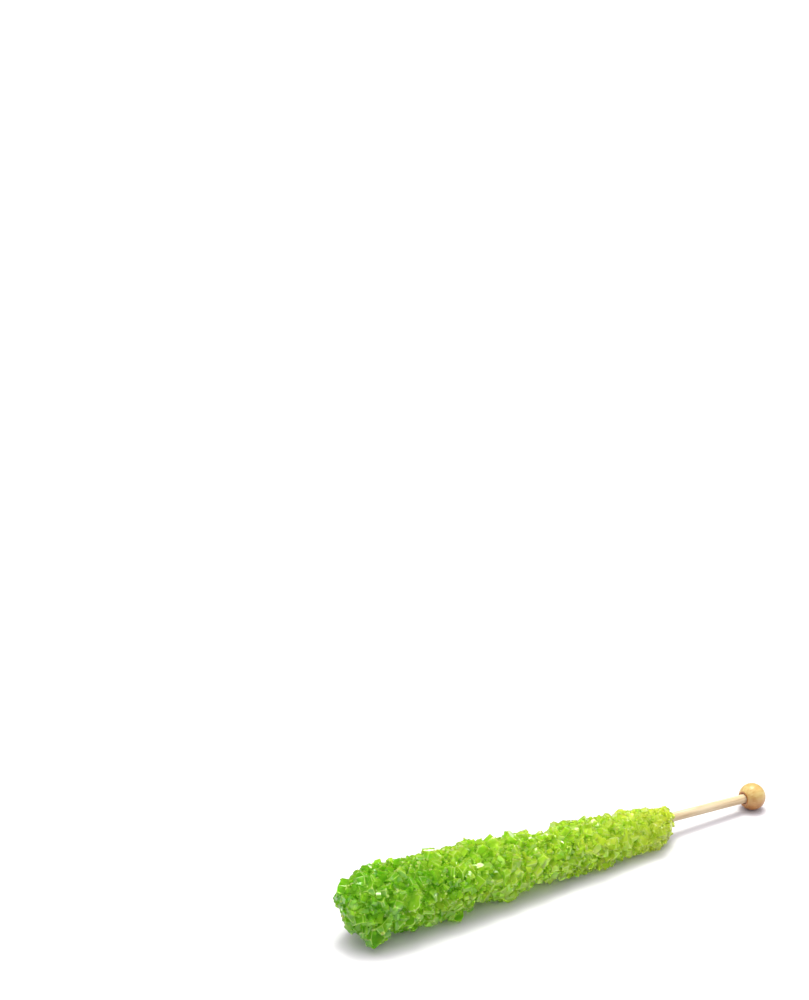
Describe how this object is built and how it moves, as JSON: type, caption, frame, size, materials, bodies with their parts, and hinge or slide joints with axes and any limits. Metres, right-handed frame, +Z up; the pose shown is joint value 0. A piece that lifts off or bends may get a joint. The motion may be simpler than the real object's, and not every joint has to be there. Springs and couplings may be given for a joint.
{
  "type": "rock candy stick",
  "caption": "Green rock candy grown on a thin wooden stick that ends in a turned ball, lying on its side.",
  "frame": {"origin": "middle of the underside, on the surface that the candy and the ball rest on", "axes": "+X from the candy's thick end to the ball, +Z up, the side towards -Y is the one shown"},
  "size_m": [0.1726, 0.0246, 0.0236],
  "materials": {
    "sugar": "translucent green sugar crystals with glossy faces",
    "dowel_wood": "bare birch, sanded",
    "ball_wood": "turned birch, lightly varnished"
  },
  "bodies": {
    "root": {"candy": "sugar", "dowel": "dowel_wood", "ball": "ball_wood"}
  },
  "joints": []
}
